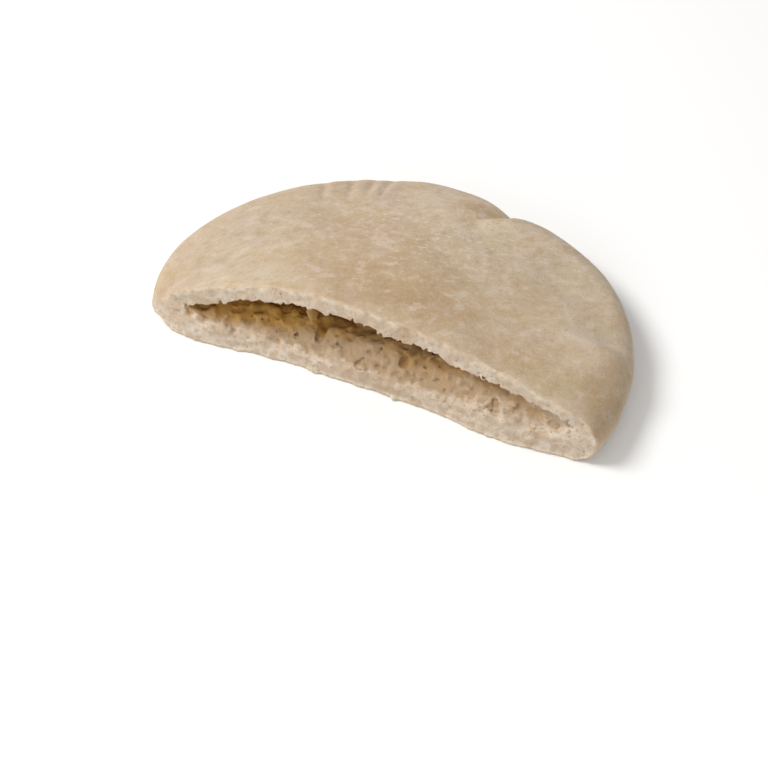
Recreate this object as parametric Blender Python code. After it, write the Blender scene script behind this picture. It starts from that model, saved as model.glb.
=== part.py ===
"""Half of a pocket pita, cut straight across the middle, lying on its flat underside.

Metres, +Z up.  X runs along the cut, Y from the cut to the round back, and the
underside is flat at z = 0.  The whole bread is made first: a domed round with a
thick rolled rim, slightly out of round, with one fold on its edge.  The baked
hollow is taken out of it, and then a knife shape takes the front half away, so
the pocket opens at the cut and the thin upper wall arches over the thick floor.
The floor swells behind the cut, and at the right the two walls are baked together.
"""
import math

import bmesh
import bpy
import numpy as np

MM = 0.001

# ---- outline of the bread, seen from above (mm)
HALF_CHORD = 73.4          # half the length of the cut
CHORD_SKEW = 0.8           # the left half of the cut is longer than the right by twice this
BACK_REACH = 9.8           # how much further the back is than a true semicircle
OUT_OF_ROUND = {2: 0.1, 3: 2.9, 5: 0.9, 6: -0.6, 7: 0.2, 8: 0.6, 9: 0.7}  # waves of the edge
FOLD_ANGLE = 75.5          # where the rim is folded, degrees round from +X
FOLD_DEPTH = 2.2           # the notch it makes in the edge, steep on the right
FOLD_LINE = ((21.5, 81.0), (18.0, 68.5), (14.0, 65.6), (8.0, 62.6))   # the fold from above
FOLD_DROP = 2.3            # the left lobe lies this much lower along the line
FOLD_LIFT = 0.8            # and the right one this much higher
RIDGE_ANGLE = 18.8         # a soft ridge runs in from the edge here
RIDGE_TURN = 0.42          # and turns by this many degrees for each mm inwards
RIDGE_HEIGHT = 1.9
CRINKLES = ((109.2, 0.8), (113.3, 0.9), (118.3, 0.9), (125.3, 1.0))  # degrees, depth

# ---- rim
RIM_SHOULDER = 16.0        # height where the dome meets the rim
RIM_MIDDLE = 7.8           # height of the widest line of the rim
RIM_TOP_ROUND = 10.5       # how far in the top edge is rounded
RIM_RIGHT_ROUND = 9.0      # more than elsewhere, from the cut to the ridge
RIM_BOTTOM_ROUND = 8.0     # how far in the underside is rounded
RIM_TILT = 1.3             # the rim is fuller on the right by this much

# ---- dome, highest just left of the middle of the cut
ARCH_HEIGHT = 15.2
ARCH_PEAK_X = -8.0
ARCH_LEFT = 61.5
ARCH_RIGHT = 84.0
DOME_BACK = 80.5           # where the dome has died away at the back

# ---- walls and pocket
UPPER_WALL = ((-66, 5.4), (-53, 7.4), (-43, 5.4), (-30, 6.2), (20, 6.0), (35, 5.8), (41, 5.4),
              (47, 4.5), (54, 5.2), (60, 5.0), (72, 3.2))   # thickness along the cut
FLOOR_THICK = 7.6
FLOOR_LEFT_EXTRA = 3.2
FLOOR_RIGHT_EXTRA = 5.5
# share of the gap that the swollen floor fills behind the cut, along the cut
FLOOR_SWELL = ((-60, 0.30), (-24, 0.30), (-8, 0.40), (8, 0.50), (18, 0.66), (32, 0.80), (48, 0.88), (70, 0.90))
RIM_WALL = 11.5            # bread left between the pocket and the outside edge
POCKET_ROUND = 7.0         # how far in the closed edge of the pocket is rounded
POCKET_RIGHT = 52.0        # the walls are baked together to the right of this

# ---- the origin is under the middle of the half, measured from the middle of the cut
ORIGIN_X = -1.3
ORIGIN_Y = 39.46

# ---- cut
CUT_OFFSET = 0.2           # the cut runs this far behind the widest line of the bread
CUT_BOWS = ((-58.0, 17.0, 3.2), (43.0, 17.0, 2.5))   # where the knife strayed: x, width, depth
CUT_BOW_LEFT = 0.6         # share of that which the upper wall's edge lacks, left of the middle
CUT_BOW_RIGHT = 1.0        # and right of it
UPPER_SETBACK = 2.4        # the upper wall stands this far behind the floor's cut face
UPPER_CUT_TILT = 17.0      # and its cut face leans back by this, degrees
GROOVE = 2.2               # depth of the groove left where the pocket is shut

CRUST_COLOUR = (0.604, 0.456, 0.296)


def bump(a, centre, width, height):
    """A smooth swelling of the edge at one angle, all in degrees and mm."""
    d = np.degrees(a) - centre
    return height * np.exp(-(d / width) ** 2)


def smooth(a, b, v):
    t = np.clip((v - a) / (b - a), 0, 1)
    return t * t * (3 - 2 * t)


def outline(theta):
    """Distance from the middle to the edge; the front half mirrors the back."""
    a = np.abs((np.asarray(theta, float) + math.pi) % (2 * math.pi) - math.pi)
    r = HALF_CHORD - CHORD_SKEW * np.cos(a) + BACK_REACH * np.sin(a)
    for k, amp in OUT_OF_ROUND.items():
        r = r + amp * np.sin(k * a)
    d = np.degrees(a) - FOLD_ANGLE
    r = r - FOLD_DEPTH * np.exp(-np.sqrt(1 + (d / np.where(d > 0, 4.0, 1.2)) ** 2) + 1)
    r = r + bump(a, FOLD_ANGLE - 8, 6, 1.2) + bump(a, 33, 9, 1.4)
    return r - bump(a, 13, 7, 1.4) - bump(a, 108, 8, 1.0)


def arch(x):
    """1 at the peak of the arch, 0 where the upper wall comes down to the rim."""
    xi = x - ARCH_PEAK_X
    left = np.clip(-xi / ARCH_LEFT, 0, 1)
    right = np.clip(xi / ARCH_RIGHT, 0, 1)
    return np.where(xi < 0, (1 - left ** 2.6) ** 1.15, (1 - right ** 1.8) ** 1.3)


def rim_middle(x):
    return RIM_MIDDLE + RIM_TILT * x / 75


def dome(x, y):
    """Height of the upper crust before the rim is rounded off."""
    back = np.sqrt(np.maximum(DOME_BACK ** 2 - x ** 2, 15.0 ** 2))
    eta = np.clip(np.abs(y) / back, 0, 1)
    return RIM_SHOULDER + RIM_TILT * x / 75 + ARCH_HEIGHT * arch(x) * (1 - eta ** 1.4) ** 1.15


def fold(x, y):
    """Height of the folded rim: the right lobe lies over the left one, along a line."""
    near = np.full(np.shape(x), 1e9)
    away = np.zeros(np.shape(x))
    run = np.zeros(np.shape(x))
    for i, ((ax, ay), (bx, by)) in enumerate(zip(FOLD_LINE, FOLD_LINE[1:])):
        length = math.hypot(bx - ax, by - ay)
        ux, uy = (bx - ax) / length, (by - ay) / length
        t = np.clip(((x - ax) * ux + (y - ay) * uy) / length, 0, 1)
        dx, dy = x - ax - t * length * ux, y - ay - t * length * uy
        d = np.hypot(dx, dy)
        side = np.sign(dx * uy - dy * ux)              # above 0 on the left lobe
        closer = d < near
        away = np.where(closer, side * d, away)
        run = np.where(closer, i + t, run)
        near = np.minimum(near, d)
    fade = smooth(3.0, 2.0, run)
    left = smooth(-0.9, 0.9, away)
    low = -FOLD_DROP * left * np.exp(-(np.maximum(away, 0) / 5.0) ** 1.3)
    high = FOLD_LIFT * (1 - left) * np.exp(-(np.maximum(-away, 0) / 5.0) ** 1.3)
    return fade * (low + high)


def relief(theta, inset):
    """Fold, ridge and crinkles near the edge, in mm of height."""
    a = np.abs((theta + math.pi) % (2 * math.pi) - math.pi)
    deg = np.degrees(a)
    # the ridge is steep behind and gentle in front, with a shallow valley behind it
    d = deg - RIDGE_ANGLE - RIDGE_TURN * inset
    z = RIDGE_HEIGHT * np.exp(-(d / np.where(d > 0, 2.4, 7.0)) ** 2) * np.exp(-((inset - 7) / 13) ** 2)
    z = z - 1.0 * np.exp(-((d - 5.5) / 4.0) ** 2) * np.exp(-((inset - 7) / 11) ** 2)
    for centre, depth in CRINKLES:
        at = deg - centre - 0.2 * (inset - 8)
        reach = np.exp(-((inset - 8) / 7) ** 2)
        z = z - 0.95 * depth * np.exp(-at ** 2) * reach
        z = z + 0.5 * depth * np.exp(-((at + 2.2) / 1.6) ** 2) * reach
    r = outline(theta) - inset
    return z + fold(r * np.cos(a), r * np.sin(a))


def top_round(theta):
    a = np.abs((theta + math.pi) % (2 * math.pi) - math.pi)
    x = outline(theta) * np.cos(theta)
    return RIM_TOP_ROUND - 4.0 * x / 75 + RIM_RIGHT_ROUND * np.exp(-((np.degrees(a) - 13) / 8) ** 2)


def upper_crust(theta, inset):
    """Point on the upper crust, inset from the edge by the given distance."""
    r = outline(theta) - inset
    x, y = r * np.cos(theta), r * np.sin(theta)
    zm = rim_middle(x)
    w = np.clip(1 - inset / top_round(theta), 0, 1)
    z = zm + (dome(x, y) + relief(theta, inset) - zm) * np.sqrt(1 - w * w)
    return x, y, z


def underside(theta, inset):
    r = outline(theta) - inset
    x, y = r * np.cos(theta), r * np.sin(theta)
    w = np.clip(1 - inset / RIM_BOTTOM_ROUND, 0, 1)
    return x, y, rim_middle(x) * (1 - np.sqrt(1 - w * w))


def upper_wall(x):
    xs, ts = zip(*UPPER_WALL)
    return np.interp(x, xs, ts)


def floor_wall(x, y):
    """Thickness of the floor: the crumb swells behind the cut, most on the right."""
    t = FLOOR_THICK + FLOOR_LEFT_EXTRA * np.clip(-x / 63, 0, 1.1) ** 4
    t = t + FLOOR_RIGHT_EXTRA * np.clip(x / 66, 0, 1.1) ** 4
    t = t - 1.5 * np.clip(np.abs(y) / 60, 0, 1)
    gap = np.maximum(dome(x, y) - upper_wall(x) - t, 0)
    b = np.abs(y)
    xs, shares = zip(*FLOOR_SWELL)
    return t + np.interp(x, xs, shares) * smooth(-3, 10, b) * smooth(60, 18, b) * gap


def cut_line(x):
    """How far the cut strays in front of its straight line."""
    bow = sum(depth * np.exp(-((x - at) / width) ** 2) for at, width, depth in CUT_BOWS)
    return -bow * smooth(76, 65, np.abs(x))


def pocket_edge(theta):
    c = np.cos(theta)
    r = outline(theta) - (RIM_WALL - 1.2 * c - 3.0 * np.maximum(c, 0) ** 3)
    end = POCKET_RIGHT / np.maximum(c, 0.2)
    return (r ** -16 + end ** -16) ** (-1 / 16)          # the nearer of the two, rounded over


def pocket(x, y, inside):
    """Floor and ceiling heights of the pocket; inside is the distance from its edge."""
    ceiling = dome(x, y) - upper_wall(x)
    floor = floor_wall(x, y)
    gap = np.maximum(ceiling - floor, 1.6)
    middle = (ceiling + floor) / 2
    g = np.sqrt(1 - np.clip(1 - inside / POCKET_ROUND, 0, 1) ** 2)
    return middle - gap / 2 * g, middle + gap / 2 * g


def cut_face(x, z):
    """How far behind the cut plane the cut surface is at each point."""
    ceiling = dome(x, 0 * x) - upper_wall(x)
    floor = floor_wall(x, 0 * x)
    gap = np.maximum(ceiling - floor, 1.6)
    share = (z - floor) / gap
    t = np.clip((share - 0.15) / 0.7, 0, 1)
    back = UPPER_SETBACK * np.clip(1 - (x / 72.0) ** 2, 0, 1) * t * t * (3 - 2 * t)
    back = back - np.where(x < 0, CUT_BOW_LEFT, CUT_BOW_RIGHT) * cut_line(x) * t
    back = back + GROOVE * smooth(38, 48, x) * smooth(71, 62, x) * smooth(0, 0.35, share) * smooth(1, 0.65, share)
    lean = math.tan(math.radians(UPPER_CUT_TILT)) * arch(x) ** 2
    return CUT_OFFSET + cut_line(x) + back + lean * np.maximum(0, z - floor - 0.85 * gap)


def angles():
    """Columns round the bread, closer together at the ridge, the fold and the crinkles."""
    half = []
    a = 0.0
    while a < 180 - 1e-6:
        half.append(a)
        if 66 <= a < 90:
            step = 1.5
        elif 14 <= a < 44 or 104 <= a < 130:
            step = 2.0
        else:
            step = 4.0
        a += step
    half.append(180.0)
    front = [-a for a in half[1:-1]][::-1]
    front = front[::3]
    return np.radians(np.array(half + [a + 360 for a in front]))


def ringed_solid(name, rings, low, high):
    """A closed body from rings of points, capped with one low and one high point."""
    mesh = bpy.data.meshes.new(name)
    bm = bmesh.new()
    rows = [[bm.verts.new(Vector3(x, y, z)) for x, y, z in zip(*ring)] for ring in rings]
    n = len(rows[0])
    for lower, upper in zip(rows, rows[1:]):
        for i in range(n):
            j = (i + 1) % n
            bm.faces.new((lower[i], lower[j], upper[j], upper[i]))
    if low is None:
        bm.faces.new(rows[0][::-1])
    else:
        v = bm.verts.new(Vector3(*low))
        for i in range(n):
            bm.faces.new((v, rows[0][(i + 1) % n], rows[0][i]))
    v = bm.verts.new(Vector3(*high))
    for i in range(n):
        bm.faces.new((rows[-1][i], rows[-1][(i + 1) % n], v))
    bmesh.ops.recalc_face_normals(bm, faces=bm.faces)
    bm.to_mesh(mesh)
    bm.free()
    obj = bpy.data.objects.new(name, mesh)
    bpy.context.collection.objects.link(obj)
    return obj


def Vector3(x, y, z):
    return (float(x) * MM, float(y) * MM, float(z) * MM)


def make_bread(theta):
    rings = []
    for deg in (90, 72, 54, 36, 18):                      # under the rim
        inset = RIM_BOTTOM_ROUND * (1 - math.cos(math.radians(deg)))
        rings.append(underside(theta, inset))
    r = outline(theta)
    x = r * np.cos(theta)
    rings.append((x, r * np.sin(theta), rim_middle(x)))   # widest line
    for deg in (18, 36, 54, 72, 90):                      # over the rim
        inset = top_round(theta) * (1 - math.cos(math.radians(deg)))
        rings.append(upper_crust(theta, inset))
    shoulder = top_round(theta)
    for f in (0.93, 0.86, 0.78, 0.69, 0.60, 0.50, 0.40, 0.30, 0.20, 0.10):
        rings.append(upper_crust(theta, r - (r - shoulder) * f))
    rings = [(x_, y_, z_) for x_, y_, z_ in rings]
    peak = float(dome(np.array(0.0), np.array(0.0)))
    return ringed_solid("half_pita", rings, None, (0, 0, peak))


def make_pocket():
    """The hollow, lofted from front to back through upright sections along the cut."""
    theta = np.radians(np.linspace(0, 180, 361))
    r = pocket_edge(theta)
    x, y = r * np.cos(theta), r * np.sin(theta)
    back = int(np.argmax(y))
    deepest = y[back]
    stations = [-11.0, -7.0, -3.9, -1.4, 1.5, 4.0, 6.6, 9.6, 14.0, 19.0, 25.0, 31.0, 37.0, 43.0]
    stations += [deepest - d for d in (12.0, 8.0, 4.5, 2.0, 0.6)]
    share = (1 - np.cos(np.linspace(0, math.pi, 31))) / 2
    rings = []
    for at in stations:
        right = np.interp(abs(at), y[:back + 1], x[:back + 1])
        left = np.interp(abs(at), y[back:][::-1], x[back:][::-1])
        xs = left + (right - left) * share
        edge = pocket_edge(np.arctan2(abs(at), xs))
        lo, hi = pocket(xs, at + 0 * xs, np.maximum(edge - np.hypot(xs, at), 0))
        across = np.concatenate([xs, xs[-2:0:-1]])
        rings.append((across, at + 0 * across, np.concatenate([lo, hi[-2:0:-1]])))
    lo, hi = pocket(x[back], deepest, np.array(0.0))
    return ringed_solid("pocket_cutter", rings, None, (x[back], deepest, (lo + hi) / 2))


def make_knife():
    """A block in front of the cut, whose back face is the cut surface."""
    xs = np.linspace(-95.3, 95.9, 48)
    rows = []
    ceiling = dome(xs, 0 * xs) - upper_wall(xs)
    floor = floor_wall(xs, 0 * xs)
    gap = np.maximum(ceiling - floor, 1.6)
    for level in (None, 0.03, 0.35, 0.65, 0.97, 9.0, 27.0):
        if level is None:
            z = -6 + 0 * xs
        elif level < 1:
            z = floor + gap * level
        else:
            z = floor + gap + level
        y = cut_face(xs, z)
        rows.append((xs, y, z))
    bm = bmesh.new()
    grid = [[bm.verts.new(Vector3(x, y, z)) for x, y, z in zip(*row)] for row in rows]
    wall = [[bm.verts.new(Vector3(x, -110, z)) for x, z in ((xs[0], rows[k][2][0]), (xs[-1], rows[k][2][-1]))]
            for k in range(len(rows))]
    for k in range(len(rows) - 1):
        for i in range(len(xs) - 1):
            bm.faces.new((grid[k][i], grid[k][i + 1], grid[k + 1][i + 1], grid[k + 1][i]))
        bm.faces.new((wall[k][0], grid[k][0], grid[k + 1][0], wall[k + 1][0]))
        bm.faces.new((grid[k][-1], wall[k][1], wall[k + 1][1], grid[k + 1][-1]))
        bm.faces.new((wall[k][1], wall[k][0], wall[k + 1][0], wall[k + 1][1]))
    bm.faces.new([wall[0][0], wall[0][1]] + grid[0][::-1])
    low_i = grid[-1]
    centre = bm.verts.new(Vector3(0, -60, 60))
    loop = [wall[-1][0]] + low_i + [wall[-1][1]]
    for a, b in zip(loop, loop[1:] + loop[:1]):
        bm.faces.new((a, b, centre))
    bmesh.ops.recalc_face_normals(bm, faces=bm.faces)
    mesh = bpy.data.meshes.new("knife_cutter")
    bm.to_mesh(mesh)
    bm.free()
    obj = bpy.data.objects.new("knife_cutter", mesh)
    bpy.context.collection.objects.link(obj)
    return obj


def crust_material():
    mat = bpy.data.materials.new("crust")
    mat.use_nodes = True
    shader = mat.node_tree.nodes["Principled BSDF"]
    shader.inputs["Base Color"].default_value = (*CRUST_COLOUR, 1)
    shader.inputs["Roughness"].default_value = 0.8
    shader.inputs["Metallic"].default_value = 0.0
    return mat


def main():
    for obj in list(bpy.data.objects):
        bpy.data.objects.remove(obj, do_unlink=True)
    theta = angles()
    bread = make_bread(theta)
    hollow = make_pocket()
    knife = make_knife()
    centre = bpy.data.objects.new("origin", None)
    centre.location = (-ORIGIN_X * MM, -ORIGIN_Y * MM, 0)
    bpy.context.collection.objects.link(centre)
    bread.parent = hollow.parent = knife.parent = centre
    for cutter in (hollow, knife):
        cutter.hide_render = True
        cutter.display_type = 'WIRE'
        mod = bread.modifiers.new(cutter.name, 'BOOLEAN')
        mod.operation = 'DIFFERENCE'
        mod.solver = 'EXACT'
        mod.object = cutter
    bread.data.materials.append(crust_material())
    bread.data.shade_smooth()
    bread.data.set_sharp_from_angle(angle=math.radians(40))


main()
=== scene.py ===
"""Half of a pocket pita, cut straight across, lying on a pale floor.

The bread is one closed mesh.  It is made as a solid field in millimetres: the
domed outer crust, less the baked pocket, less everything in front of the cut.
Torn crumb, pores and webs are worked into the field before it is meshed, and a
procedural material gives the floury crust, the browned patches and the crumb, with shade
and highlights painted into it in the pocket, the pores, the fold and about the ridge.
"""
import math

import bpy
import numpy as np
from mathutils import Matrix, Vector


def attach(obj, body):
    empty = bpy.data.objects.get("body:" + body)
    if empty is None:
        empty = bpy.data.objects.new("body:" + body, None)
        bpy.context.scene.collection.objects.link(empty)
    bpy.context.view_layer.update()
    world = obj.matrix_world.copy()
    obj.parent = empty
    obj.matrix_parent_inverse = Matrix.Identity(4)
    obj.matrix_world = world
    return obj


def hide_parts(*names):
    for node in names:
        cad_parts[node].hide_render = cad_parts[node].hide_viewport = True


MM = 0.001

# ---------------------------------------------------------------- sizes, in mm
HALF_CHORD = 73.4
CHORD_SKEW = 0.8
BACK_REACH = 9.8
OUT_OF_ROUND = {2: 0.1, 3: 2.9, 5: 0.9, 6: -0.6, 7: 0.2, 8: 0.6, 9: 0.7}
FOLD_ANGLE = 75.5
FOLD_DEPTH = 2.2
FOLD_DROP = 2.3
FOLD_LIFT = 0.8
FOLD_LINE = ((21.5, 81.0), (18.0, 68.5), (14.0, 65.6), (8.0, 62.6))
RIDGE_ANGLE = 18.8
RIDGE_TURN = 0.42          # degrees for each mm inwards
CRINKLES = ((109.2, 0.8), (113.3, 0.9), (118.3, 0.9), (125.3, 1.0))
RIM_SHOULDER = 16.0
RIM_MIDDLE = 7.8
RIM_TOP_ROUND = 10.5
RIM_RIGHT_ROUND = 9.0      # more than elsewhere, from the cut to the ridge
RIM_BOTTOM_ROUND = 8.0
RIM_TILT = 1.3
ARCH_HEIGHT = 15.2
ARCH_PEAK_X = -8.0
ARCH_LEFT = 61.5
ARCH_RIGHT = 84.0
DOME_BACK = 80.5
UPPER_WALL = ((-66, 5.4), (-53, 7.4), (-43, 5.4), (-30, 6.2), (20, 6.0), (35, 5.8), (41, 5.4),
              (47, 4.5), (54, 5.2), (60, 5.0), (72, 3.2))
FLOOR_THICK = 7.6
FLOOR_LEFT_EXTRA = 3.2
FLOOR_RIGHT_EXTRA = 5.5
# share of the gap that the swollen floor fills, along the cut
FLOOR_SWELL = ((-60, 0.30), (-24, 0.30), (-8, 0.40), (8, 0.50), (18, 0.66), (32, 0.80), (48, 0.88), (70, 0.90))
RIM_WALL = 11.5
POCKET_ROUND = 7.0
ORIGIN_X = -1.3
ORIGIN_Y = 39.46
CUT_OFFSET = 0.2
UPPER_SETBACK = 2.4
CUT_BOWS = ((-58.0, 17.0, 3.2), (43.0, 17.0, 2.5))   # where the knife wandered: x, width, depth
CUT_BOW_LEFT, CUT_BOW_RIGHT = 0.6, 1.0              # share of it that the upper wall's edge lacks
UPPER_CUT_TILT = 17.0

CELL = 0.33       # size of the field's cells
FACES = 190000                      # triangles kept


def smooth(a, b, v):
    t = np.clip((v - a) / (b - a), 0, 1)
    return t * t * (3 - 2 * t)


def bump(a, centre, width, height):
    return height * np.exp(-((np.degrees(a) - centre) / width) ** 2)


def outline(theta):
    a = np.abs((theta + math.pi) % (2 * math.pi) - math.pi)
    r = HALF_CHORD - CHORD_SKEW * np.cos(a) + BACK_REACH * np.sin(a)
    for k, amp in OUT_OF_ROUND.items():
        r = r + amp * np.sin(k * a)
    d = np.degrees(a) - FOLD_ANGLE
    r = r - FOLD_DEPTH * np.exp(-np.sqrt(1 + (d / np.where(d > 0, 4.0, 1.2)) ** 2) + 1)
    r = r + bump(a, FOLD_ANGLE - 8, 6, 1.2) + bump(a, 33, 9, 1.4)
    return r - bump(a, 13, 7, 1.4) - bump(a, 108, 8, 1.0)


def arch(x):
    xi = x - ARCH_PEAK_X
    left = np.clip(-xi / ARCH_LEFT, 0, 1)
    right = np.clip(xi / ARCH_RIGHT, 0, 1)
    return np.where(xi < 0, (1 - left ** 2.6) ** 1.15, (1 - right ** 1.8) ** 1.3)


def dome(x, y):
    back = np.sqrt(np.maximum(DOME_BACK ** 2 - x ** 2, 15.0 ** 2))
    eta = np.clip(np.abs(y) / back, 0, 1)
    return RIM_SHOULDER + RIM_TILT * x / 75 + ARCH_HEIGHT * arch(x) * (1 - eta ** 1.4) ** 1.15


def upper_wall(x):
    xs, ts = zip(*UPPER_WALL)
    return np.interp(x, xs, ts)


def floor_wall(x, y):
    """Thickness of the floor: the crumb swells behind the cut, most on the right."""
    t = FLOOR_THICK + FLOOR_LEFT_EXTRA * np.clip(-x / 63, 0, 1.1) ** 4
    t = t + FLOOR_RIGHT_EXTRA * np.clip(x / 66, 0, 1.1) ** 4
    t = t - 1.5 * np.clip(np.abs(y) / 60, 0, 1)
    gap = np.maximum(dome(x, y) - upper_wall(x) - t, 0)
    b = np.abs(y)
    xs, shares = zip(*FLOOR_SWELL)
    return t + np.interp(x, xs, shares) * smooth(-3, 10, b) * smooth(60, 18, b) * gap


def cut_line(x):
    """How far the cut strays in front of its straight line."""
    bow = sum(depth * np.exp(-((x - at) / width) ** 2) for at, width, depth in CUT_BOWS)
    return -bow * smooth(76, 65, np.abs(x))


def pocket_edge(theta):
    c = np.cos(theta)
    return outline(theta) - (RIM_WALL - 1.2 * c - 3.0 * np.maximum(c, 0) ** 3)


def fold(x, y):
    """Height of the folded rim: the right lobe lies over the left one, along a line."""
    near = np.full(np.shape(x), 1e9)
    away = np.zeros(np.shape(x))
    run = np.zeros(np.shape(x))
    for i, ((ax, ay), (bx, by)) in enumerate(zip(FOLD_LINE, FOLD_LINE[1:])):
        length = math.hypot(bx - ax, by - ay)
        ux, uy = (bx - ax) / length, (by - ay) / length
        t = np.clip(((x - ax) * ux + (y - ay) * uy) / length, 0, 1)
        dx, dy = x - ax - t * length * ux, y - ay - t * length * uy
        d = np.hypot(dx, dy)
        side = np.sign(dx * uy - dy * ux)              # above 0 on the left lobe
        closer = d < near
        away = np.where(closer, side * d, away)
        run = np.where(closer, i + t, run)
        near = np.minimum(near, d)
    fade = smooth(3.0, 2.0, run)
    left = smooth(-0.3, 0.5, away)
    low = -FOLD_DROP * left * np.exp(-(np.maximum(away, 0) / 5.0) ** 1.3)
    high = FOLD_LIFT * (1 - left) * np.exp(-(np.maximum(-away, 0) / 5.0) ** 1.3)
    return fade * (low + high)


# ---------------------------------------------------------------- field
class Field:
    """The bread as a signed field on a grid: below 0 inside, in mm."""

    def __init__(self, cell):
        self.cell = cell
        self.low = np.array([-79.5, -5.1, -1.5])
        size = np.array([159.0, 89.7, 37.0])
        self.n = np.ceil(size / cell).astype(int) + 1
        self.axes = [self.low[k] + cell * np.arange(self.n[k]) for k in range(3)]

    def spline(self, k, step):
        """Cubic weights that spread a coarse lattice along one axis of the grid."""
        at = (self.axes[k] - self.low[k]) / step + 1
        i = np.floor(at).astype(int)
        t = (at - i)[:, None]
        w = np.hstack([(1 - t) ** 3, 3 * t ** 3 - 6 * t ** 2 + 4,
                       -3 * t ** 3 + 3 * t ** 2 + 3 * t + 1, t ** 3]) / 6
        m = np.zeros((self.n[k], int(i.max()) + 4), np.float32)
        for j in range(4):
            m[np.arange(self.n[k]), i + j - 1] += w[:, j]
        return m

    def noise(self, seed, step):
        """Smooth noise over the grid, about 1 either way, with features of the given size."""
        step = np.broadcast_to(step, 3)
        ms = [self.spline(k, float(step[k])) for k in range(3)]
        rng = np.random.default_rng(seed)
        a = rng.standard_normal([m.shape[1] for m in ms]).astype(np.float32)
        a = np.tensordot(ms[0], a, (1, 0))                 # x, lattice y, lattice z
        a = np.einsum("ij,xjz->xiz", ms[1], a, optimize=True)
        a = a @ ms[2].T
        return a * np.float32(1.0 / max(float(a[::3, ::3, ::3].std()), 1e-6))

    def plane(self, seed, step):
        """Noise that is the same at every height."""
        ms = [self.spline(k, step) for k in (0, 1)]
        a = np.random.default_rng(seed).standard_normal([m.shape[1] for m in ms])
        a = ms[0] @ a @ ms[1].T
        return a / a.std()

    def at(self, values, points):
        """A grid's values at points, between its cells."""
        q = (points - self.low) / self.cell
        q = np.clip(q, 0, np.array(values.shape) - 1.001)
        i = q.astype(int)
        f = (q - i).astype(np.float32)
        out = 0
        for dx in (0, 1):
            for dy in (0, 1):
                for dz in (0, 1):
                    w = (f[:, 0] if dx else 1 - f[:, 0]) * (f[:, 1] if dy else 1 - f[:, 1]) \
                        * (f[:, 2] if dz else 1 - f[:, 2])
                    out = out + w * values[i[:, 0] + dx, i[:, 1] + dy, i[:, 2] + dz]
        return out

    def stamp(self, into, centres, radii, join=np.minimum):
        """Works ellipsoids into a grid of distances, each in its own small block."""
        for c, r in zip(centres, radii):
            reach = r + 1.5 * self.cell
            a = np.maximum(np.ceil((c - reach - self.low) / self.cell).astype(int), 0)
            b = np.minimum(np.floor((c + reach - self.low) / self.cell).astype(int) + 1, self.n)
            if (b <= a).any():
                continue
            g = [((self.axes[k][a[k]:b[k]] - c[k]) / r[k]) ** 2 for k in range(3)]
            d = np.sqrt(g[0][:, None, None] + g[1][None, :, None] + g[2][None, None, :])
            d = (d - 1) * min(r)
            block = into[a[0]:b[0], a[1]:b[1], a[2]:b[2]]
            join(block, d, out=block)


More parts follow.
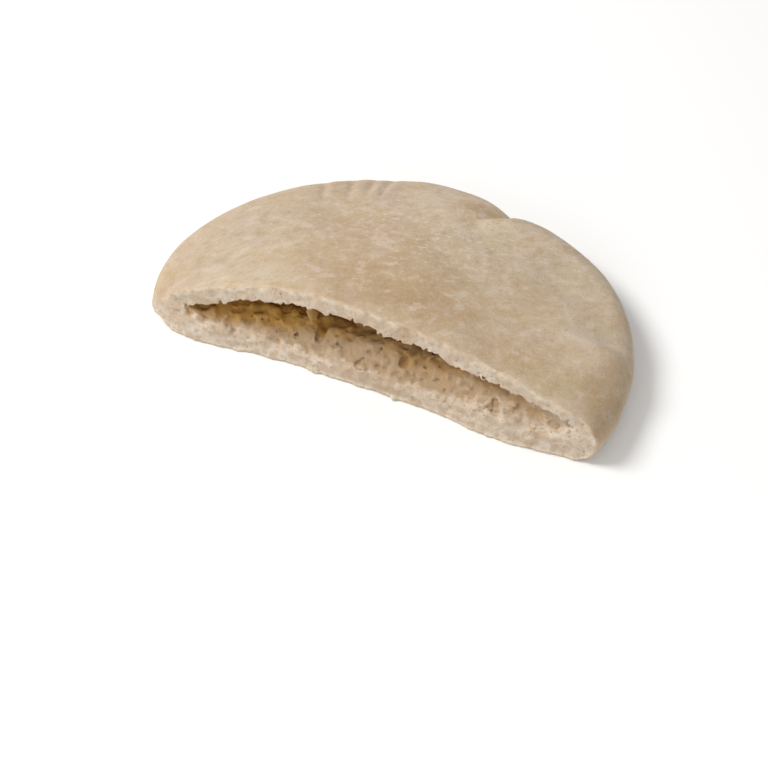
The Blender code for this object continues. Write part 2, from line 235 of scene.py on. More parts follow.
def make_field():
    g = Field(CELL)
    x, y = np.meshgrid(g.axes[0], g.axes[1], indexing="ij")
    z = g.axes[2][None, None, :].astype(np.float32)
    theta, r = np.arctan2(y, x), np.hypot(x, y)
    deg = np.degrees(np.abs(theta))
    edge = outline(theta)
    inset = edge - r

    # outer crust -----------------------------------------------------------
    def local(centre, width, depth, at, reach):
        return depth * np.exp(-((deg - centre) / width) ** 2) * np.exp(-((inset - at) / reach) ** 2)

    # the ridge at the right is steep behind and gentle in front
    d = deg - RIDGE_ANGLE - RIDGE_TURN * inset
    relief = 1.9 * np.exp(-(d / np.where(d > 0, 2.4, 7.0)) ** 2) * np.exp(-((inset - 7) / 13) ** 2)
    relief -= 1.0 * np.exp(-((d - 5.5) / 4.0) ** 2) * np.exp(-((inset - 7) / 11) ** 2)
    for centre, depth in CRINKLES:
        relief -= local(centre + 0.2 * (inset - 8), 1.0, 0.95 * depth, 8, 7)
        relief += local(centre - 2.2 + 0.2 * (inset - 8), 1.6, 0.5 * depth, 8, 7)
    relief += fold(x, y)
    relief -= 0.7 * np.exp(-((x - 38.5) / 3.6) ** 2 - ((y - 4.4) / 2.2) ** 2)
    relief += 0.42 * g.plane(11, 19.0) * smooth(2, 20, inset)
    relief += 0.17 * g.plane(12, 7.0)
    relief += 0.06 * g.plane(13, 3.2)

    zm = RIM_MIDDLE + RIM_TILT * x / 75
    zt = dome(x, y) + relief
    rt = RIM_TOP_ROUND - 4.0 * x / 75 + RIM_RIGHT_ROUND * np.exp(-((deg - 13) / 8) ** 2)
    rb = RIM_BOTTOM_ROUND + 0 * x
    f32 = lambda a: a.astype(np.float32)[:, :, None]
    up = z > f32(zm)
    v = np.where(up, (z - f32(zm)) / f32(zt - zm), (f32(zm) - z) / f32(zm))
    h = np.where(up, f32(zt - zm), f32(zm))
    w = np.where(up, f32(np.maximum(1 - inset / rt, 0)), f32(np.maximum(1 - inset / rb, 0)))
    rr = np.where(up, f32(rt), f32(rb))
    q = np.sqrt(w * w + v * v) + 1e-4
    out = (q - 1) * q / np.sqrt((w / rr) ** 2 + (v / h) ** 2 + 1e-5)
    # a soft side is never quite even
    out += (0.22 * g.noise(21, (16, 16, 12)) + 0.10 * g.noise(22, 6.0)) * smooth(0.5, 6, z)
    out = np.maximum(out, -z - 0.0)
    del w, rr, h, v, q, up

    # pocket ----------------------------------------------------------------
    ce = dome(x, y) - upper_wall(x)
    fl = floor_wall(x, y)
    gap = np.maximum(ce - fl, 1.6)
    mid = (ce + fl) / 2
    inside = pocket_edge(theta) - r
    wp = f32(np.maximum(1 - inside / POCKET_ROUND, 0))
    vp = np.abs(z - f32(mid)) / f32(gap / 2)
    q = np.sqrt(wp * wp + vp * vp) + 1e-4
    hol = (q - 1) * q / np.sqrt((wp / POCKET_ROUND) ** 2 + (vp / f32(gap / 2)) ** 2 + 1e-5)
    del wp, vp, q
    # torn crumb: low lumps, more on the floor than on the ceiling
    lower = smooth(0.6, -0.6, (z - f32(mid)) / f32(gap / 2))
    amp = (0.5 + 0.5 * lower) * f32((1 - 0.6 * smooth(5, 12, y)) * (1 - 0.35 * smooth(-22, -45, x)))
    hol += amp * (0.7 * g.noise(31, (7.0, 6.0, 6.0)) + 0.42 * g.noise(32, (2.6, 2.2, 2.2)))
    hol = np.maximum(hol, out + 1.7)                      # never through the crust
    start = np.interp(x, (45, 56), (3.4, 2.0))
    hol += 3.5 * f32(smooth(40, 52, x) * smooth(0, 1.8, y - start))   # shut at the right end
    even = hol.copy()
    # ragged hollows of two sizes, and a fine roughness
    rough = 0.30 * (0.8 - np.abs(g.noise(34, 1.9))) + 0.34 * (0.8 - np.abs(g.noise(37, 1.1)))
    rough += 0.55 * smooth(0.9, 2.2, g.noise(38, 2.3)) - 0.12 * g.noise(36, 0.75)
    calm = smooth(55, 25, y) * (1 - 0.5 * smooth(5, 11, y)) * (1 - 0.35 * smooth(15, 40, x)) * (1 - 0.45 * smooth(-22, -42, x))
    hol -= (0.35 + 0.65 * lower) * rough * f32(calm)
    hol += (0.15 + 0.25 * lower) * g.noise(39, (1.5, 1.5, 1.2))
    del rough
    # the ceiling's edge at the cut is toothed
    mouth = f32(smooth(9, 2, y))
    hol += 0.24 * (1 - lower) * mouth * g.noise(35, (0.6, 2.0, 0.9))

    # cut -------------------------------------------------------------------
    x1 = g.axes[0]
    ce1 = dome(x1, 0 * x1) - upper_wall(x1)
    fl1 = floor_wall(x1, 0 * x1)
    gp1 = np.maximum(ce1 - fl1, 1.6)
    t = np.clip(((z[0] - fl1[:, None]) / gp1[:, None] - 0.15) / 0.7, 0, 1)
    back = UPPER_SETBACK * np.clip(1 - (x1 / 72.0) ** 2, 0, 1)[:, None] * t * t * (3 - 2 * t)
    lean = math.tan(math.radians(UPPER_CUT_TILT)) * arch(x1)[:, None] ** 2
    back -= np.where(x1 < 0, CUT_BOW_LEFT, CUT_BOW_RIGHT)[:, None] * cut_line(x1)[:, None] * t
    face = CUT_OFFSET + cut_line(x1)[:, None] + back + lean * np.maximum(0, z[0] - fl1[:, None] - 0.85 * gp1[:, None])
    cut = face[:, None, :].astype(np.float32) - y.astype(np.float32)[:, :, None]
    cut += 0.16 * g.noise(41, 2.2)
    flat = np.maximum(cut, -even)
    cut += 0.10 * g.noise(42, 0.8)

    # the floor's cut face runs over into the torn crumb with no edge
    soft = np.maximum(3.2 - np.abs(cut + hol), 0) * lower
    solid = np.maximum(np.maximum(cut, -hol) + soft * soft / (4 * 3.2), out)
    del soft

    # webs of crumb that still join the two walls, and nibs at the cut's lower edge
    webs = np.full(solid.shape, 9.0, np.float32)
    rng = np.random.default_rng(5)
    parts = []
    for wx, wy, z0, z1, thick in ((-23.4, 10.0, 8, 26, 1.1),):
        for k in range(15):
            s = k / 14
            parts.append(((wx + 1.6 * (s - 0.5) + 0.5 * math.sin(9 * s), wy + 0.6 * math.sin(7 * s),
                           z0 + (z1 - z0) * s), (thick * (0.8 + 1.0 * abs(s - 0.5)), thick * 1.8, 1.5)))
    parts.append(((36.5, 3.0, 9.0), (5.5, 3.6, 3.2)))
    for nx, nz, nr in ((-18.6, 0.9, 0.8), (50.4, 1.0, 0.9), (49.2, 0.7, 0.6), (-35.0, 0.8, 0.5), (8.0, 0.8, 0.5)):
        parts.append(((nx, 0.1, nz), (nr * 1.2, nr, nr)))
    g.stamp(webs, np.array([p[0] for p in parts]), np.array([p[1] for p in parts]))
    webs += 0.3 * g.noise(43, 1.3)
    webs = np.maximum(webs, out + 0.6)
    soft = np.maximum(1.6 - np.abs(solid - webs), 0)
    solid = np.maximum(np.minimum(solid, webs) - soft * soft / (4 * 1.6), out)
    flat = np.minimum(flat, webs)
    del webs, soft, even

    # pores -----------------------------------------------------------------
    pores = np.full(solid.shape, 9.0, np.float32)
    rng = np.random.default_rng(7)
    near = np.abs(solid) < 0.6 * CELL
    under = out < -1.1

    def choose(mask, count):
        at = np.argwhere(mask)
        at = at[rng.permutation(len(at))[:count]]
        return g.low + g.cell * (at + rng.uniform(-0.5, 0.5, at.shape))

    front = f32(smooth(40, 12, y)) > 0.01
    lip = f32(smooth(9, 5, y)) > 0.5
    on_cut = near & under & (cut > -0.7) & (hol > 0.3)
    in_pocket = near & under & (hol < 0.7) & (cut < 0.3)
    # bubbles of the torn crumb, a few of them large
    for where, count, mean, most in (
            (in_pocket & (lower > 0.5) & front, 300, 0.10, 0.42),
            (in_pocket & (lower <= 0.5) & lip & (cut < -0.8), 300, 0.09, 0.45),
            (in_pocket & (lower <= 0.5) & front & ~lip, 500, 0.13, 0.8),
            (in_pocket & ~front, 900, 0.25, 1.6)):
        c = choose(where, count)
        size = rng.gamma(3.0, mean, len(c))[:, None]
        g.stamp(pores, c, np.clip(size, 0.25, most) * rng.uniform(0.75, 1.25, (len(c), 3)))
    # the larger holes in the crumb by the mouth, ragged
    big = ((-19.2, 8.8, 13.4, 2.2, 4.0, 4.2), (-23.8, 3.2, 10.2, 1.0, 1.4, 1.0), (-18.9, 4.2, 10.2, 1.3, 1.5, 0.9),
           (-4.8, 1.6, 9.2, 0.75, 1.2, 0.75), (9.6, 4.6, 13.0, 1.5, 1.7, 1.7), (10.8, 3.4, 10.8, 1.0, 1.2, 1.1),
           (-34.0, 0.4, 9.6, 0.8, 0.9, 0.8), (56.9, 0.4, 12.6, 3.0, 1.3, 1.7))
    g.stamp(pores, np.array([b[:3] for b in big]), np.array([b[3:] for b in big]))
    pores += 0.16 * g.noise(44, 1.0) + 0.25 * g.noise(45, 2.2)
    c = choose(on_cut, 650)
    size = rng.gamma(4.0, 0.06, len(c))[:, None]
    g.stamp(pores, c, np.clip(size, 0.2, 0.42) * np.array([1.0, 0.8, 1.0]))
    keep = out + 0.9                              # the crust itself is never holed
    holes = np.minimum(-pores, -keep)
    soft = np.maximum(0.35 - np.abs(solid - holes), 0)
    solid = np.maximum(solid, holes) + soft * soft / (4 * 0.35)
    return g, solid, out, hol, cut, flat, lower


# ---------------------------------------------------------------- meshing
def net(values, low, cell):
    """A closed quad mesh of the field's zero, one vertex in each cell it passes."""
    s = values < 0
    n = np.array(values.shape)
    count = np.zeros(n - 1, np.uint8)
    for dx in (0, 1):
        for dy in (0, 1):
            for dz in (0, 1):
                count += s[dx:n[0] - 1 + dx, dy:n[1] - 1 + dy, dz:n[2] - 1 + dz]
    act = (count > 0) & (count < 8)
    index = np.full(act.shape, -1, np.int32)
    cells = np.argwhere(act)
    index[act] = np.arange(len(cells), dtype=np.int32)
    total = np.zeros((len(cells), 3))
    hits = np.zeros(len(cells))
    for axis in range(3):
        others = [k for k in range(3) if k != axis]
        for u in (0, 1):
            for v in (0, 1):
                a = cells.copy()
                a[:, others[0]] += u
                a[:, others[1]] += v
                b = a.copy()
                b[:, axis] += 1
                fa = values[a[:, 0], a[:, 1], a[:, 2]].astype(float)
                fb = values[b[:, 0], b[:, 1], b[:, 2]].astype(float)
                c = (fa < 0) != (fb < 0)
                p = a[c].astype(float)
                p[:, axis] += fa[c] / (fa[c] - fb[c])
                total[c] += p
                hits[c] += 1
    verts = low + cell * (total / hits[:, None])
    quads = []
    for axis in range(3):
        u, v = [(1, 2), (2, 0), (0, 1)][axis]
        a = [slice(0, m) for m in n]
        b = [slice(0, m) for m in n]
        a[axis], b[axis] = slice(0, n[axis] - 1), slice(1, n[axis])
        cross = s[tuple(a)] != s[tuple(b)]
        e = np.argwhere(cross)
        e = e[(e[:, u] > 0) & (e[:, v] > 0) & (e[:, u] < n[u] - 1) & (e[:, v] < n[v] - 1)]
        ring = []
        for du, dv in ((-1, -1), (0, -1), (0, 0), (-1, 0)):
            c = e.copy()
            c[:, u] += du
            c[:, v] += dv
            ring.append(index[c[:, 0], c[:, 1], c[:, 2]])
        quad = np.stack(ring, 1)
        first = s[e[:, 0], e[:, 1], e[:, 2]]
        quad[~first] = quad[~first][:, ::-1]
        quads.append(quad)
    return verts, np.concatenate(quads)


def largest(verts, quads):
    """Only the one connected body: loose crumbs and closed bubbles go."""
    label = np.arange(len(verts))
    edges = np.concatenate([quads[:, (0, 1)], quads[:, (1, 2)], quads[:, (2, 3)]])
    while True:
        m = np.minimum(label[edges[:, 0]], label[edges[:, 1]])
        new = label.copy()
        np.minimum.at(new, edges[:, 0], m)
        np.minimum.at(new, edges[:, 1], m)
        new = new[new]
        new = new[new]
        if (new == label).all():
            break
        label = new
    root = np.bincount(label).argmax()
    keep = label == root
    to = np.cumsum(keep) - 1
    return verts[keep], to[quads[keep[quads[:, 0]]]]


def mesh_from(name, verts, faces):
    me = bpy.data.meshes.new(name)
    k = faces.shape[1]
    me.vertices.add(len(verts))
    me.vertices.foreach_set("co", verts.astype(np.float32).ravel())
    me.loops.add(faces.size)
    me.loops.foreach_set("vertex_index", faces.astype(np.int32).ravel())
    me.polygons.add(len(faces))
    me.polygons.foreach_set("loop_start", np.arange(0, faces.size, k, dtype=np.int32))
    me.update(calc_edges=True)
    return me


def read(me, what, name, width, kind=np.float32):
    out = np.empty(len(what) * width, kind)
    what.foreach_get(name, out)
    return out.reshape(-1, width) if width > 1 else out


def evaluated(obj):
    """Applies the object's modifiers to its mesh."""
    deps = bpy.context.evaluated_depsgraph_get()
    me = bpy.data.meshes.new_from_object(obj.evaluated_get(deps))
    obj.modifiers.clear()
    obj.data = me
    return me


def make_bread():
    g, solid, out, hol, cut, flat, lower = make_field()
    verts, quads = net(solid, g.low, g.cell)
    verts, quads = largest(verts, quads)
    verts[:, 2] = np.maximum(verts[:, 2], 0.0)
    me = mesh_from("bread", verts, quads)
    obj = bpy.data.objects.new("half_pita_bread", me)
    bpy.context.collection.objects.link(obj)
    mod = obj.modifiers.new("thin", "DECIMATE")
    mod.ratio = min(1.0, FACES / (2.0 * len(quads)))
    me = evaluated(obj)
    p = read(me, me.vertices, "co", 3).astype(float)

    depth = -g.at(out, p)
    fields = {
        "crust": smooth(0.55, 0.20, depth),
        "band": smooth(2.4, 0.9, depth),
        # painted shade inside the pores: how far the surface lies below the even crumb
        "pore_shade": smooth(0.4, 1.9, -g.at(flat, p)),
        "pocket": smooth(9.0, 6.0, g.at(hol, p)),
        # painted shade on the crumb in the pocket
        "tan": crumb_pocket_shade(p, -g.at(cut, p)),
        # painted shade, dark and golden, deep in the pocket
        "inner": deep_pocket_shade(p, -g.at(cut, p)),
        "right": smooth(-30, 8, p[:, 0]),
        "dull": np.exp(-((p[:, 0] - 3) / 15) ** 2),
        "ceiling": 1 - g.at(lower, p),
    }
    fields.update(crust_fields(p))
    for name, value in fields.items():
        a = me.attributes.new(name, "FLOAT", "POINT")
        a.data.foreach_set("value", np.asarray(value, np.float32))
    lay_flat(me, p, fields)
    p = (p - np.array([ORIGIN_X, ORIGIN_Y, 0])) * MM
    me.vertices.foreach_set("co", p.astype(np.float32).ravel())
    me.update()
    me.shade_smooth()
    return obj


def crumb_pocket_shade(p, behind):
    """Painted shade on the torn crumb: darker the farther it lies behind the cut and under the ceiling's edge, less at
    the right, where it is torn close to the cut.
    """
    x, z = p[:, 0], p[:, 2]
    tan = 0.70 * smooth(0.0, 2.4, behind) + 0.5 * np.clip(behind / 11, 0, 1)
    tan = tan * (1.12 - 0.45 * smooth(14, 42, x))
    tan += 0.30 * np.exp(-((x - 22) / 9) ** 2) * smooth(7.0, 9.0, z) * smooth(15, 13, z)
    return tan + 0.22 * np.exp(-((x - 2) / 20) ** 2) * smooth(14, 12, z)


def deep_pocket_shade(p, behind):
    """Painted shade deep in the pocket, dark and golden as the light bounced about inside the crumb: how much, by how
    far behind the cut the crumb lies.
    """
    start = np.interp(p[:, 0], (-60, -41, -25, -9, 7, 25, 48), (0.2, 1.2, 3.6, 4.2, 3.0, 1.2, 1.6))
    start = start - 1.0 * smooth(12, 18, p[:, 2])
    much = np.interp(p[:, 0], (-60, 12, 28, 60), (1.0, 1.0, 0.9, 0.8))
    much = much - 0.4 * spot(p, -23.4, 10.0, 1.8, 2.2) * smooth(11, 14, p[:, 2])    # the web is paler
    return np.clip((behind - start) / 7.0, 0, 1) * much + 0.45 * spot(p, 10.2, 5.0, 2.6, 3.6)


def spot(p, x, y, rx, ry, turn=0.0):
    c, s = math.cos(math.radians(turn)), math.sin(math.radians(turn))
    u = (p[:, 0] - x) * c + (p[:, 1] - y) * s
    v = -(p[:, 0] - x) * s + (p[:, 1] - y) * c
    return np.exp(-(u / rx) ** 2 - (v / ry) ** 2)


def crust_fields(p):
    """Where the crust is browner, paler or greyer, as broad soft patches; some of them are painted shade and
    highlight, in the fold, about the ridge and on the right side.
    """
    theta = np.arctan2(p[:, 1], p[:, 0])
    inset = outline(theta) - np.hypot(p[:, 0], p[:, 1])
    top = smooth(6, 14, p[:, 2])
    brown_and_shade = 0.9 * spot(p, 4, 16, 34, 13, -8) + 0.35 * spot(p, -2, 40, 40, 12, -4) + 0.3 * spot(p, 14, 18, 14, 8)
    # the spot at x 72, y 12 is painted shade on the right side, which faces away from the light
    brown_and_shade += 0.35 * spot(p, -30, 70, 22, 7, 30) + 1.6 * spot(p, 72, 12, 7, 13)
    # the two strongest spots here, at x 8.5 and x 7, are painted shade in the fold, where the left lobe dips below the
    # right one
    brown_and_shade += 2.3 * spot(p, 8.5, 68.5, 6, 2.6, 8) + 1.0 * spot(p, 7.0, 61.5, 2.4, 5) + 0.4 * spot(p, 40, 40, 16, 9, -30)
    # the spot at x 62, y 40 is painted shadow behind the ridge
    brown_and_shade += 0.5 * spot(p, 62, 40, 9, 10) + 0.4 * spot(p, 44, 12, 11, 9) + 0.4 * spot(p, -68, 9, 8, 14)
    # the spots at x 57 and x 65 are a painted highlight along the ridge's crest
    pale = 0.25 * spot(p, -52, 8, 14, 12) + 0.8 * spot(p, 57, 29, 9, 4.5) + 0.8 * spot(p, 65, 32.2, 8, 1.3, 20) + 0.35 * spot(p, 30, 52, 26, 14, -20)
    # the spots at x 14 and x 18 are a painted highlight along the raised edge of the fold's right lobe, which is also
    # paler
    pale += 0.4 * spot(p, 14, 62, 5, 3) + 0.6 * spot(p, 18, 64.5, 7, 1.8, 25) + 0.15 * smooth(5, 1, p[:, 1]) * smooth(14, 17, p[:, 2])
    grey_and_shade = 0.6 * spot(p, -48, 42, 18, 7, 40) + 0.5 * spot(p, -52, 28, 16, 14) + 0.4 * spot(p, -60, 12, 12, 12) + 0.5 * spot(p, -20, 62, 16, 6, 12) + 0.7 * spot(p, 40, 66, 26, 12, -35)
    # the spots at x 62 and x 68 are painted shadow behind the ridge, the one at x 74 painted shade on the right side
    grey_and_shade += 0.6 * spot(p, 62, 36, 8, 5, 0) + 0.8 * spot(p, 68, 37, 6, 2.5, 20) + 0.5 * spot(p, 74, 22, 5, 12) + 0.35 * spot(p, 30, 45, 22, 14)
    pink = 0.8 * smooth(40, 62, p[:, 1]) * smooth(25, -5, p[:, 0]) + 0.5 * spot(p, -62, 30, 14, 18)
    mealy = 0.9 * spot(p, 2, 46, 30, 16, 10) + 0.5 * spot(p, 45, 62, 24, 10, -35) + 0.25 - 0.25 * smooth(54, 64, p[:, 0])
    return {"brown_and_shade": brown_and_shade * top, "pale": pale * top, "grey_and_shade": grey_and_shade * top, "pink": pink * top, "mealy": mealy * top,
            "edge": smooth(14, 2, inset)}


def lay_flat(me, p, fields):
    """A map of the surface with its own place for each side, for baking."""
    loops = read(me, me.loops, "vertex_index", 1, np.int32)
    start = read(me, me.polygons, "loop_start", 1, np.int32)
    count = read(me, me.polygons, "loop_total", 1, np.int32)
    normal = read(me, me.polygons, "normal", 3)
    crust = np.add.reduceat(fields["crust"][loops], start) / count
    cuts = np.add.reduceat(p[loops, 1], start) / count
    hol = np.add.reduceat(fields["pocket"][loops], start) / count
    face = np.repeat(np.arange(len(start)), count)
    theta = np.arctan2(p[:, 1], p[:, 0])
    r = np.hypot(p[:, 0], p[:, 1])
    edge = outline(theta)
    # over the rim the map runs on along the surface
    over = np.clip((p[:, 2] - 8.0) / 9.0, -1, 1)
    run = np.where(edge - r < 11, (1 - over) * 7.0, 0.0)
    under = np.where(edge - r < 9, (1 + over) * 6.0, 0.0)
    spread = {
        0: (r + run, 92.0),
        1: (r + under, 92.0),
    }
    uv = np.zeros((len(loops), 2))
    mean_z = np.add.reduceat(p[loops, 2], start) / count
    kind = np.full(len(start), 4)
    outer = crust > 0.5
    kind[outer & (mean_z >= 8)] = 0
    kind[outer & (mean_z < 8)] = 1
    inner = ~outer & (hol > 0.5) & ~((normal[:, 1] < -0.75) & (cuts < 5.5))
    kind[inner & (normal[:, 2] >= 0)] = 2
    kind[inner & (normal[:, 2] < 0)] = 3
    k = kind[face]
    lp = p[loops]
    for which, (ox, oy, sx, sy) in {
        0: (0.005, 0.665, 1 / 186.0, 1 / 290.0), 1: (0.505, 0.665, 1 / 186.0 * 0.98, 1 / 290.0),
        2: (0.005, 0.335, 1 / 330.0, 1 / 290.0), 3: (0.505, 0.335, 1 / 330.0, 1 / 290.0),
    }.items():
        m = k == which
        if which < 2:
            rad = spread[which][0][loops][m]
            th = theta[loops][m]
            u = rad * np.cos(th) + 93.0
            v = rad * np.sin(th) + 3.0
            uv[m, 0] = ox + 0.49 * u / 186.0
            uv[m, 1] = oy + 0.325 * v / 97.0
        else:
            uv[m, 0] = ox + 0.49 * (lp[m, 0] + 80) / 160.0
            uv[m, 1] = oy + 0.325 * (lp[m, 1] + 3) / 90.0
    m = k == 4
    uv[m, 0] = 0.005 + 0.99 * (lp[m, 0] + 80) / 160.0
    uv[m, 1] = 0.005 + 0.32 * (lp[m, 2] + 1) / 37.0
    layer = me.uv_layers.new(name="OFBake")
    layer.uv.foreach_set("vector", uv.astype(np.float32).ravel())


# ---------------------------------------------------------------- material
DIM = 0.77                 # colours are as they look under this studio's light


def srgb(r, g, b):
    def lin(c):
        c = c / 255.0
        return c / 12.92 if c <= 0.04045 else ((c + 0.055) / 1.055) ** 2.4
    return (DIM * lin(r), DIM * lin(g), DIM * lin(b), 1.0)


class Nodes:
    """Short ways to add and join shader nodes."""

    def __init__(self, name):
        self.mat = bpy.data.materials.new(name)
        self.mat.use_nodes = True
        self.nt = self.mat.node_tree
        self.bsdf = self.nt.nodes["Principled BSDF"]
        coord = self.nt.nodes.new("ShaderNodeTexCoord")
        self.place = coord.outputs["Object"]

    def put(self, value, socket):
        if isinstance(value, (int, float)):
            socket.default_value = value
        elif isinstance(value, tuple):
            socket.default_value = value
        else:
            self.nt.links.new(value, socket)

    def math(self, op, a, b=0.0, clamp=False):
        n = self.nt.nodes.new("ShaderNodeMath")
        n.operation = op
        n.use_clamp = clamp
        self.put(a, n.inputs[0])
        self.put(b, n.inputs[1])
        return n.outputs[0]

    def attr(self, name):
        n = self.nt.nodes.new("ShaderNodeAttribute")
        n.attribute_name = name
        return n.outputs["Fac"]

    def noise(self, scale, detail=3.0, rough=0.55, stretch=None, distortion=0.0, shift=0.0):
        n = self.nt.nodes.new("ShaderNodeTexNoise")
        n.inputs["Scale"].default_value = scale
        n.inputs["Detail"].default_value = detail
        n.inputs["Roughness"].default_value = rough
        n.inputs["Distortion"].default_value = distortion
        m = self.nt.nodes.new("ShaderNodeMapping")
        m.vector_type = "TEXTURE"
        m.inputs["Location"].default_value = (shift, shift * 0.7, shift * 0.3)
        if stretch:
            m.inputs["Rotation"].default_value = (0, 0, math.radians(stretch[0]))
            m.inputs["Scale"].default_value = stretch[1]
        self.nt.links.new(self.place, m.inputs["Vector"])
        self.nt.links.new(m.outputs[0], n.inputs["Vector"])
        return n.outputs["Fac"]

    def cells(self, scale, feature="F1", randomness=1.0):
        n = self.nt.nodes.new("ShaderNodeTexVoronoi")
        n.feature = feature
        n.inputs["Scale"].default_value = scale
        n.inputs["Randomness"].default_value = randomness
        self.nt.links.new(self.place, n.inputs["Vector"])
        return n.outputs["Distance"]

    def band(self, value, a, b):
        n = self.nt.nodes.new("ShaderNodeMapRange")
        n.interpolation_type = "SMOOTHSTEP"
        self.put(value, n.inputs["Value"])
        n.inputs["From Min"].default_value = a
        n.inputs["From Max"].default_value = b
        return n.outputs["Result"]

    def mix(self, factor, a, b):
        n = self.nt.nodes.new("ShaderNodeMix")
        n.data_type = "RGBA"
        self.put(factor, n.inputs["Factor"])
        self.put(a, n.inputs["A"])
        self.put(b, n.inputs["B"])
        return [o for o in n.outputs if o.type == "RGBA"][0]

    def mixf(self, factor, a, b):
        n = self.nt.nodes.new("ShaderNodeMix")
        n.data_type = "FLOAT"
        self.put(factor, n.inputs["Factor"])
        self.put(a, n.inputs["A"])
        self.put(b, n.inputs["B"])
        return n.outputs["Result"]

    def bump(self, height, distance, strength=1.0, under=None):
        n = self.nt.nodes.new("ShaderNodeBump")
        n.inputs["Distance"].default_value = distance
        n.inputs["Strength"].default_value = strength
        self.put(height, n.inputs["Height"])
        if under is not None:
            self.nt.links.new(under, n.inputs["Normal"])
        return n.outputs["Normal"]


def bread_material():
    m = Nodes("pita_bread")
    crust = m.attr("crust")
    # crust: a pale tan, floury skin with browner patches, some of them painted shade
    broad = m.noise(30, 3, 0.5)
    hue = m.noise(75, 3, 0.55, shift=9.3)
    mid = m.noise(110, 4, 0.6, shift=3.1)
    blot = m.noise(230, 3, 0.6, stretch=(23.6, (1.15, 0.95, 1.0)), shift=7.7)
    fine = m.noise(520, 4, 0.6, stretch=(23.6, (1.3, 0.9, 1.0)), shift=1.7)
    grain = m.noise(1500, 3, 0.6, shift=5.3)
    brown_and_shade = m.attr("brown_and_shade")
    col = m.mix(m.band(broad, 0.38, 0.66), srgb(208, 184, 153), srgb(216, 196, 169))
    col = m.mix(m.math("MULTIPLY", m.band(hue, 0.5, 0.66), 0.7), col, srgb(212, 187, 169))
    col = m.mix(m.math("MULTIPLY", m.band(hue, 0.48, 0.34), 0.6), col, srgb(207, 184, 145))
    col = m.mix(m.math("MULTIPLY", m.attr("pink"), 0.45, True), col, srgb(216, 192, 171))
    # the brown field holds browning and also painted shade; pale holds paler crust and painted highlights; grey holds
    # greyer crust and painted shadow
    col = m.mix(m.math("MULTIPLY", brown_and_shade, m.band(mid, 0.25, 0.75), True), col, srgb(189, 158, 119))
    col = m.mix(m.math("MULTIPLY", brown_and_shade, 0.45, True), col, srgb(191, 163, 127))
    col = m.mix(m.math("MULTIPLY", m.attr("pale"), 0.75, True), col, srgb(227, 211, 187))
    col = m.mix(m.math("MULTIPLY", m.attr("grey_and_shade"), 0.6, True), col, srgb(200, 185, 164))
    less = m.math("SUBTRACT", 0.55, m.math("MULTIPLY", m.attr("edge"), 0.35))     # the rim is plainer
    col = m.mix(m.math("MULTIPLY", m.band(blot, 0.52, 0.68), less), col, srgb(225, 207, 188))
    col = m.mix(m.math("MULTIPLY", m.band(blot, 0.48, 0.30), 0.50), col, srgb(190, 163, 128))
    flour = m.math("MULTIPLY", m.band(fine, 0.54, 0.66), m.attr("mealy"), True)
    col = m.mix(m.math("MULTIPLY", flour, 0.75), col, srgb(228, 211, 197))
    col = m.mix(m.math("MULTIPLY", m.band(fine, 0.46, 0.32), 0.30), col, srgb(182, 151, 115))
    col = m.mix(m.math("MULTIPLY", m.band(grain, 0.55, 0.68), 0.28), col, srgb(230, 214, 196))
    crust_col = m.mix(m.math("MULTIPLY", m.band(grain, 0.46, 0.34), 0.25), col, srgb(176, 146, 110))

    # crumb: cream, with small pores painted as dark dots of shade, and painted darker and golden deep in the pocket as
    # shade
    soft = m.noise(230, 4, 0.6, shift=2.2)
    pin = m.noise(900, 3, 0.6, shift=8.8)
    dots = m.math("MULTIPLY", m.band(m.cells(640), 0.27, 0.12), m.band(pin, 0.40, 0.52))
    crumb = m.mix(m.band(soft, 0.35, 0.66), srgb(215, 195, 172), srgb(229, 214, 196))
    crumb = m.mix(m.math("MULTIPLY", m.band(pin, 0.44, 0.30), 0.35), crumb, srgb(200, 170, 136))
    # painted shade in the fine pores, which are also dents in the bump
    crumb = m.mix(m.math("MULTIPLY", dots, 0.5), crumb, srgb(176, 140, 98))
    crumb = m.mix(m.math("MULTIPLY", m.attr("dull"), 0.45), crumb, srgb(192, 165, 138))
    # the pale band of crumb just under the crust, made brighter as a painted highlight where the crumb meets the crust
    rim = m.math("SUBTRACT", m.attr("band"), crust, True)
    crumb = m.mix(m.math("MULTIPLY", rim, 0.85), crumb, srgb(240, 226, 204))
    # painted shade inside the pores, browner the deeper they go
    crumb = m.mix(m.math("MULTIPLY", m.attr("pore_shade"), 0.8, True), crumb, srgb(190, 150, 108))
    lump = m.noise(340, 2, 0.5, shift=4.9)
    ragged = m.math("MULTIPLY", m.math("SUBTRACT", soft, 0.5), 1.6)
    flecks = m.math("MULTIPLY", m.math("SUBTRACT", m.noise(520, 3, 0.6, shift=3.3), 0.5), 1.6)
    tan = m.band(m.math("ADD", m.attr("tan"), m.math("ADD", ragged, flecks)), 0.15, 1.0)
    crumb = m.mix(m.math("MULTIPLY", m.band(lump, 0.56, 0.40), 0.55), crumb, srgb(198, 171, 142))
    crumb = m.mix(m.math("MULTIPLY", m.attr("ceiling"), 0.3), crumb, srgb(204, 187, 166))
    # painted shade on the torn crumb, darker farther into the pocket, broken up by noise
    crumb = m.mix(m.math("MULTIPLY", m.math("MULTIPLY", m.attr("pocket"), tan), 0.95), crumb, srgb(182, 155, 122))
    # painted shade deep in the pocket, golden at the left and duller at the right
    deep = m.math("ADD", m.attr("inner"), m.math("MULTIPLY", ragged, 0.4))
    shade_gold = m.mix(m.attr("right"), srgb(206, 159, 82), srgb(186, 148, 98))
    crumb = m.mix(m.math("MULTIPLY", m.attr("pocket"), m.band(deep, 0.05, 0.7)), crumb, shade_gold)
    m.nt.links.new(m.mix(crust, crumb, crust_col), m.bsdf.inputs["Base Color"])

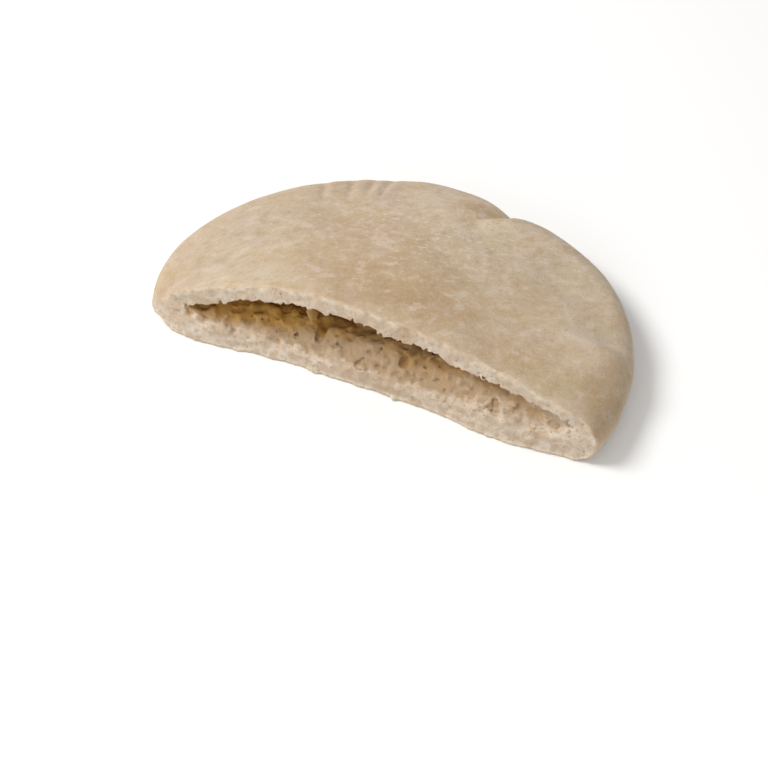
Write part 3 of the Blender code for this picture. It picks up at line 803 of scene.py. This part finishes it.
    h = m.math("MULTIPLY", m.noise(160, 4, 0.6, shift=4.4), 0.8)
    h = m.math("ADD", h, m.math("MULTIPLY", fine, 0.25))
    h = m.math("ADD", h, m.math("MULTIPLY", grain, 0.12))
    crumb_h = m.math("ADD", m.math("MULTIPLY", soft, 0.6), m.math("MULTIPLY", m.noise(700, 4, 0.65, shift=6.1), 0.7))
    crumb_h = m.math("SUBTRACT", crumb_h, m.math("MULTIPLY", dots, 0.35))
    height = m.mixf(crust, crumb_h, h)
    normal = m.bump(height, 0.0009, 0.55)
    m.nt.links.new(normal, m.bsdf.inputs["Normal"])
    m.nt.links.new(m.mixf(crust, 0.95, m.math("ADD", m.math("MULTIPLY", mid, 0.12), 0.66)), m.bsdf.inputs["Roughness"])
    m.bsdf.inputs["Specular IOR Level"].default_value = 0.28
    m.bsdf.inputs["Subsurface Weight"].default_value = 0.25
    m.bsdf.inputs["Subsurface Radius"].default_value = (1.0, 0.6, 0.35)
    m.bsdf.inputs["Subsurface Scale"].default_value = 0.0022
    return m.mat


# ---------------------------------------------------------------- scene
def aim(obj, target):
    obj.rotation_euler = (Vector(target) - obj.location).to_track_quat("-Z", "Y").to_euler()


def area(name, location, target, size, power, colour=(1, 1, 1)):
    lamp = bpy.data.lights.new(name, "AREA")
    lamp.shape = "DISK"
    lamp.size = size
    lamp.energy = power
    lamp.color = colour
    obj = bpy.data.objects.new(name, lamp)
    obj.location = location
    bpy.context.collection.objects.link(obj)
    aim(obj, target)
    return obj


def make_stage():
    mesh = bpy.data.meshes.new("floor")
    s = 3.0
    mesh.from_pydata([(-s, -s, 0), (s, -s, 0), (s, s, 0), (-s, s, 0)], [], [(0, 1, 2, 3)])
    floor = bpy.data.objects.new("floor", mesh)
    floor.location = (0, 0, -0.0002)
    bpy.context.collection.objects.link(floor)
    mat = bpy.data.materials.new("floor")
    mat.use_nodes = True
    b = mat.node_tree.nodes["Principled BSDF"]
    b.inputs["Base Color"].default_value = (0.9, 0.9, 0.9, 1)
    b.inputs["Roughness"].default_value = 0.9
    b.inputs["Specular IOR Level"].default_value = 0.1
    mesh.materials.append(mat)

    world = bpy.data.worlds.new("studio")
    bpy.context.scene.world = world
    world.use_nodes = True
    bg = world.node_tree.nodes["Background"]
    bg.inputs["Color"].default_value = (1.0, 1.0, 1.0, 1)
    bg.inputs["Strength"].default_value = 0.56


def make_camera():
    azimuth, elevation, lens, mm_per_px = math.radians(23.6), math.radians(50.0), 100.0, 0.305
    back = Vector((math.sin(azimuth) * math.cos(elevation), -math.cos(azimuth) * math.cos(elevation), math.sin(elevation)))
    right = Vector((math.cos(azimuth), math.sin(azimuth), 0))
    up = back.cross(right)
    distance = mm_per_px * lens / 36 * 768
    middle = Vector((-ORIGIN_X, -ORIGIN_Y, 0))                 # the middle of the cut's lower edge
    at = middle + right * (384 - 370) * mm_per_px + up * (391 - 384) * mm_per_px
    cam = bpy.data.cameras.new("camera")
    cam.lens = lens
    cam.sensor_width = 36
    cam.clip_start = 0.01
    cam.clip_end = 20
    obj = bpy.data.objects.new("camera", cam)
    obj.matrix_world = Matrix((
        (right.x, up.x, back.x, (at.x + back.x * distance) * MM),
        (right.y, up.y, back.y, (at.y + back.y * distance) * MM),
        (right.z, up.z, back.z, (at.z + back.z * distance) * MM),
        (0, 0, 0, 1)))
    bpy.context.collection.objects.link(obj)
    bpy.context.scene.camera = obj
    return right, back, up


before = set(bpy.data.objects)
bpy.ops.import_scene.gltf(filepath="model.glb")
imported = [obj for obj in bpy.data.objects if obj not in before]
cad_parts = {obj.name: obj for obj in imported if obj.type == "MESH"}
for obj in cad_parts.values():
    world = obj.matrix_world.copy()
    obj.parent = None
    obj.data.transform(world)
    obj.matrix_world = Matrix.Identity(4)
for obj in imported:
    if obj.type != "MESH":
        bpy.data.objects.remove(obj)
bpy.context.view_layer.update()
bpy.context.scene.view_settings.view_transform = "Standard"
right, back, up = make_camera()
make_stage()
side = Vector((right.x, right.y, 0))
away = Vector((-back.x, -back.y, 0)).normalized()
area("key", tuple(side * -0.66 + away * 0.02 + Vector((0, 0, 0.92))), (0, 0, 0.01), 0.5, 9.5, (1.0, 0.985, 0.96))
area("fill", tuple(side * -0.25 + away * -1.0 + Vector((0, 0, 0.45))), (0, 0, 0.01), 0.7, 2.5, (1.0, 0.99, 0.97))

bread = make_bread()
bread.data.materials.clear()
bread.data.materials.append(bread_material())
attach(bread, "root")
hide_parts("half_pita")
